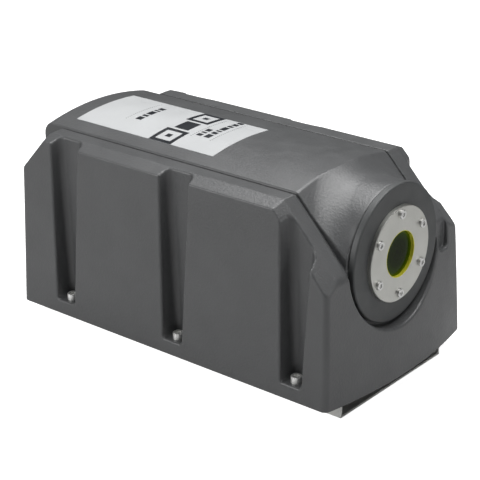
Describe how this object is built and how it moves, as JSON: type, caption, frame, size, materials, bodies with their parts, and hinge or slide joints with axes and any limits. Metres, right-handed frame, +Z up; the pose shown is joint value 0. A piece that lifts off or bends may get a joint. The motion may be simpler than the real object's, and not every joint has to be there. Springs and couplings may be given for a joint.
{
  "type": "fibre-optic light source",
  "caption": "Weatherproof fibre-optic light source: dark fluted moulded hood over a folded tray, with a round glazed fibre port on a front barrel and a colour wheel inside.",
  "frame": {"origin": "bottom centre of the bounding box, in the plane the tray stands on", "axes": "+Z up, +X towards the fibre port, Y across the housing"},
  "size_m": [0.378, 0.209, 0.1989],
  "materials": {
    "tray_metal": "folded sheet, satin",
    "insert_brass": "plain",
    "bracket_metal": "folded sheet, satin",
    "gland_plastic": "black moulded",
    "seal_rubber": "matt black",
    "reflector_mirror": "bright electroformed",
    "lamp_quartz": "clear fused quartz",
    "lamp_ceramic": "off-white glazed insulator",
    "heat_glass": "clear, faint tint",
    "motor_black": "black end bells",
    "fan_plastic": "black moulded",
    "guard_wire": "plated wire",
    "ballast_steel": "varnished laminations",
    "winding_copper": "enamelled wire",
    "can_metal": "drawn can",
    "board_green": "green laminate",
    "board_parts_mix": "moulded components",
    "terminal_plastic": "pale moulded",
    "hood_plastic": "dark grey moulded shell, fine texture",
    "label_print": null,
    "screw_steel": "bright stainless",
    "disc_paint": "dark grey satin paint",
    "stainless": "fine turned and polished",
    "sleeve_metal": "turned, satin",
    "coated_glass": "dichroic coating, yellow-green rim",
    "wheel_black": "black anodised",
    "filter_glass": "dichroic coatings in eight colours",
    "shaft_steel": "ground"
  },
  "bodies": {
    "base": {"base_tray": "tray_metal", "rail_nuts": "insert_brass", "gland_panel": "bracket_metal", "mains_gland": "gland_plastic", "data_gland": "gland_plastic", "gland_nuts": "gland_plastic", "hood_grommets": "seal_rubber", "reflector": "reflector_mirror", "reflector_bracket": "bracket_metal", "lamp": "lamp_quartz", "lamp_holder": "lamp_ceramic", "lamp_bracket": "bracket_metal", "heat_filter": "heat_glass", "filter_holder": "bracket_metal", "wheel_motor": "motor_black", "wheel_bracket": "bracket_metal", "bulkhead": "bracket_metal", "fan_frame": "fan_plastic", "fan_guard": "guard_wire", "ballast_core": "ballast_steel", "ballast_winding": "winding_copper", "ignitor": "can_metal", "capacitor": "can_metal", "capacitor_clip": "bracket_metal", "gear_shelf": "bracket_metal", "control_board": "board_green", "board_standoffs": "insert_brass", "board_parts": "board_parts_mix", "terminal_block": "terminal_plastic", "thermal_cutout": "gland_plastic"},
    "hood_assembly": {"hood": "hood_plastic", "label_plate": "label_print", "hood_screws": "screw_steel", "port_disc": "disc_paint", "port_ring": "stainless", "port_ring_screws": "screw_steel", "port_sleeve": "sleeve_metal", "port_glass": "coated_glass", "glass_seal": "seal_rubber"},
    "wheel": {"colour_wheel": "wheel_black", "colour_filters": "filter_glass", "wheel_hub": "shaft_steel", "motor_shaft": "shaft_steel"},
    "fan": {"fan_rotor": "fan_plastic"}
  },
  "joints": [
    {"name": "hood_lift", "type": "slide", "parent": "base", "child": "hood_assembly", "axis": [0, 0, 1], "range_m": [0, 0.2]},
    {"name": "wheel_spin", "type": "hinge", "parent": "base", "child": "wheel", "pos_m": [0.103, 0, 0.089], "axis": [1, 0, 0], "continuous": true},
    {"name": "fan_spin", "type": "hinge", "parent": "base", "child": "fan", "pos_m": [-0.06, 0, 0.104], "axis": [1, 0, 0], "continuous": true}
  ]
}
